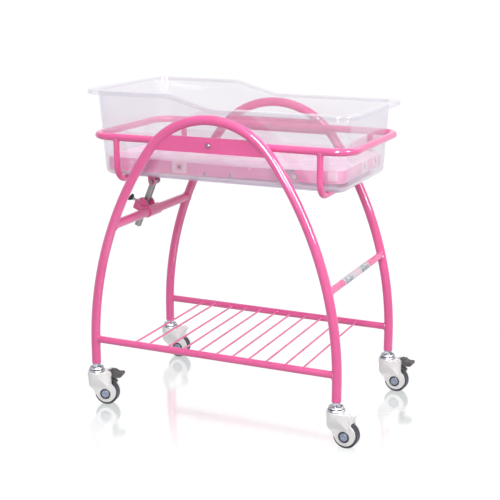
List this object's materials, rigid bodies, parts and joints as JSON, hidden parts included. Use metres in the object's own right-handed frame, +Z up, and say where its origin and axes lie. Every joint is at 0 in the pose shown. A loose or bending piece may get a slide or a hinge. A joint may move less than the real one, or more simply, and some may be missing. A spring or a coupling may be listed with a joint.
{
  "type": "hospital bassinet",
  "caption": "Wheeled hospital bassinet: clear tub with mattress in a tilting tubular cradle between arched legs, with a clamped tilt strut, wire shelf and swivel casters.",
  "frame": {"origin": "on the floor under the middle of the whole part's box", "axes": "+X from the head end towards the foot end, +Y from the front arch to the rear arch, +Z up"},
  "size_m": [0.8034, 0.4801, 0.862],
  "materials": {
    "pink_paint": "gloss",
    "label": "satin",
    "bush": "matte",
    "insert": "satin",
    "zinc": "bright zinc plate",
    "strut_steel": "satin",
    "clamp_paint": "gloss",
    "knob_black": "satin",
    "clear_plastic": "clear gloss",
    "mattress_cover": "soft cover",
    "cream_plastic": "satin",
    "hub_plastic": "satin",
    "tyre": "matte",
    "axle_cap": "satin",
    "cap_ring": "satin",
    "pedal_grey": "matte"
  },
  "bodies": {
    "frame": {"front_arch": "pink_paint", "rear_arch": "pink_paint", "front_pivot_plate": "pink_paint", "rear_pivot_plate": "pink_paint", "head_cross_tube": "pink_paint", "foot_cross_tube": "pink_paint", "blank_label": "label", "shelf_front_rail": "pink_paint", "shelf_rear_rail": "pink_paint", "shelf_rods": "pink_paint", "leg_inserts": "insert", "pivot_bushes": "bush", "caster_stem_front_left": "zinc", "caster_stem_front_right": "zinc", "caster_stem_rear_right": "zinc", "caster_stem_rear_left": "zinc"},
    "cradle": {"ring_tube": "pink_paint", "head_hanger": "pink_paint", "foot_hanger": "pink_paint", "pivot_bosses": "pink_paint", "pivot_bolts": "zinc", "strut_bracket": "pink_paint", "strut_pin": "zinc", "strut_pin_nut": "knob_black"},
    "tub": {"clear_tub": "clear_plastic"},
    "mattress": {"mattress": "mattress_cover"},
    "strut": {"tilt_strut": "strut_steel"},
    "clamp": {"strut_clamp": "clamp_paint"},
    "knob": {"clamp_screw": "zinc", "clamp_knob": "knob_black"},
    "swivel_front_left": {"caster_race_front_left": "zinc", "caster_fork_front_left": "cream_plastic", "wheel_axle_front_left": "axle_cap", "axle_caps_front_left": "cap_ring", "pedal_pin_front_left": "zinc"},
    "wheel_front_left": {"wheel_hub_front_left": "hub_plastic", "wheel_tyre_front_left": "tyre"},
    "pedal_front_left": {"brake_pedal_front_left": "pedal_grey"},
    "swivel_front_right": {"caster_race_front_right": "zinc", "caster_fork_front_right": "cream_plastic", "wheel_axle_front_right": "axle_cap", "axle_caps_front_right": "cap_ring"},
    "wheel_front_right": {"wheel_hub_front_right": "hub_plastic", "wheel_tyre_front_right": "tyre"},
    "swivel_rear_right": {"caster_race_rear_right": "zinc", "caster_fork_rear_right": "cream_plastic", "wheel_axle_rear_right": "axle_cap", "axle_caps_rear_right": "cap_ring", "pedal_pin_rear_right": "zinc"},
    "wheel_rear_right": {"wheel_hub_rear_right": "hub_plastic", "wheel_tyre_rear_right": "tyre"},
    "pedal_rear_right": {"brake_pedal_rear_right": "pedal_grey"},
    "swivel_rear_left": {"caster_race_rear_left": "zinc", "caster_fork_rear_left": "cream_plastic", "wheel_axle_rear_left": "axle_cap", "axle_caps_rear_left": "cap_ring"},
    "wheel_rear_left": {"wheel_hub_rear_left": "hub_plastic", "wheel_tyre_rear_left": "tyre"}
  },
  "joints": [
    {"name": "cradle_tilt", "type": "hinge", "parent": "frame", "child": "cradle", "pos_m": [-0.0256, 0, 0.739], "axis": [0, 1, 0], "range_deg": [-2, 8]},
    {"name": "tub_lift", "type": "slide", "parent": "cradle", "child": "tub", "axis": [0, 0, 1], "range_m": [0, 0.28]},
    {"name": "mattress_lift", "type": "slide", "parent": "tub", "child": "mattress", "axis": [0, 0, 1], "range_m": [0, 0.25]},
    {"name": "strut_swing", "type": "hinge", "parent": "cradle", "child": "strut", "pos_m": [-0.3026, 0, 0.592], "axis": [0, 1, 0], "range_deg": [-25, 7]},
    {"name": "clamp_turn", "type": "hinge", "parent": "frame", "child": "clamp", "pos_m": [-0.3102, 0, 0.5085], "axis": [0, 1, 0], "range_deg": [-17, 5]},
    {"name": "knob_turn", "type": "hinge", "parent": "clamp", "child": "knob", "pos_m": [-0.36469, 0, 0.53369], "axis": [-0.9212, 0, 0.3892], "range_deg": [-180, 180]},
    {"name": "swivel_front_left", "type": "hinge", "parent": "frame", "child": "swivel_front_left", "pos_m": [-0.3756, -0.214, 0.095], "axis": [0, 0, 1], "continuous": true},
    {"name": "roll_front_left", "type": "hinge", "parent": "swivel_front_left", "child": "wheel_front_left", "pos_m": [-0.34664, -0.20837, 0.0325], "axis": [-0.1908, 0.9816, 0], "continuous": true},
    {"name": "pedal_front_left", "type": "hinge", "parent": "swivel_front_left", "child": "pedal_front_left", "pos_m": [-0.33879, -0.20685, 0.088], "axis": [-0.1908, 0.9816, 0], "range_deg": [0, 13.5]},
    {"name": "swivel_front_right", "type": "hinge", "parent": "frame", "child": "swivel_front_right", "pos_m": [0.3244, -0.214, 0.095], "axis": [0, 0, 1], "continuous": true},
    {"name": "roll_front_right", "type": "hinge", "parent": "swivel_front_right", "child": "wheel_front_right", "pos_m": [0.35383, -0.21606, 0.0325], "axis": [0.0698, 0.9976, 0], "continuous": true},
    {"name": "swivel_rear_right", "type": "hinge", "parent": "frame", "child": "swivel_rear_right", "pos_m": [0.3244, 0.214, 0.095], "axis": [0, 0, 1], "continuous": true},
    {"name": "roll_rear_right", "type": "hinge", "parent": "swivel_rear_right", "child": "wheel_rear_right", "pos_m": [0.35381, 0.21169, 0.0325], "axis": [0.0785, 0.9969, 0], "continuous": true},
    {"name": "pedal_rear_right", "type": "hinge", "parent": "swivel_rear_right", "child": "pedal_rear_right", "pos_m": [0.36178, 0.21106, 0.088], "axis": [0.0785, 0.9969, 0], "range_deg": [0, 13.5]},
    {"name": "swivel_rear_left", "type": "hinge", "parent": "frame", "child": "swivel_rear_left", "pos_m": [-0.3756, 0.214, 0.095], "axis": [0, 0, 1], "continuous": true},
    {"name": "roll_rear_left", "type": "hinge", "parent": "swivel_rear_left", "child": "wheel_rear_left", "pos_m": [-0.34632, 0.2176, 0.0325], "axis": [-0.1219, 0.9925, 0], "continuous": true}
  ],
  "couplings": [
    {"joint": "strut_swing", "follows": "cradle_tilt", "ratio": -3.04},
    {"joint": "clamp_turn", "follows": "cradle_tilt", "ratio": -2.04}
  ]
}
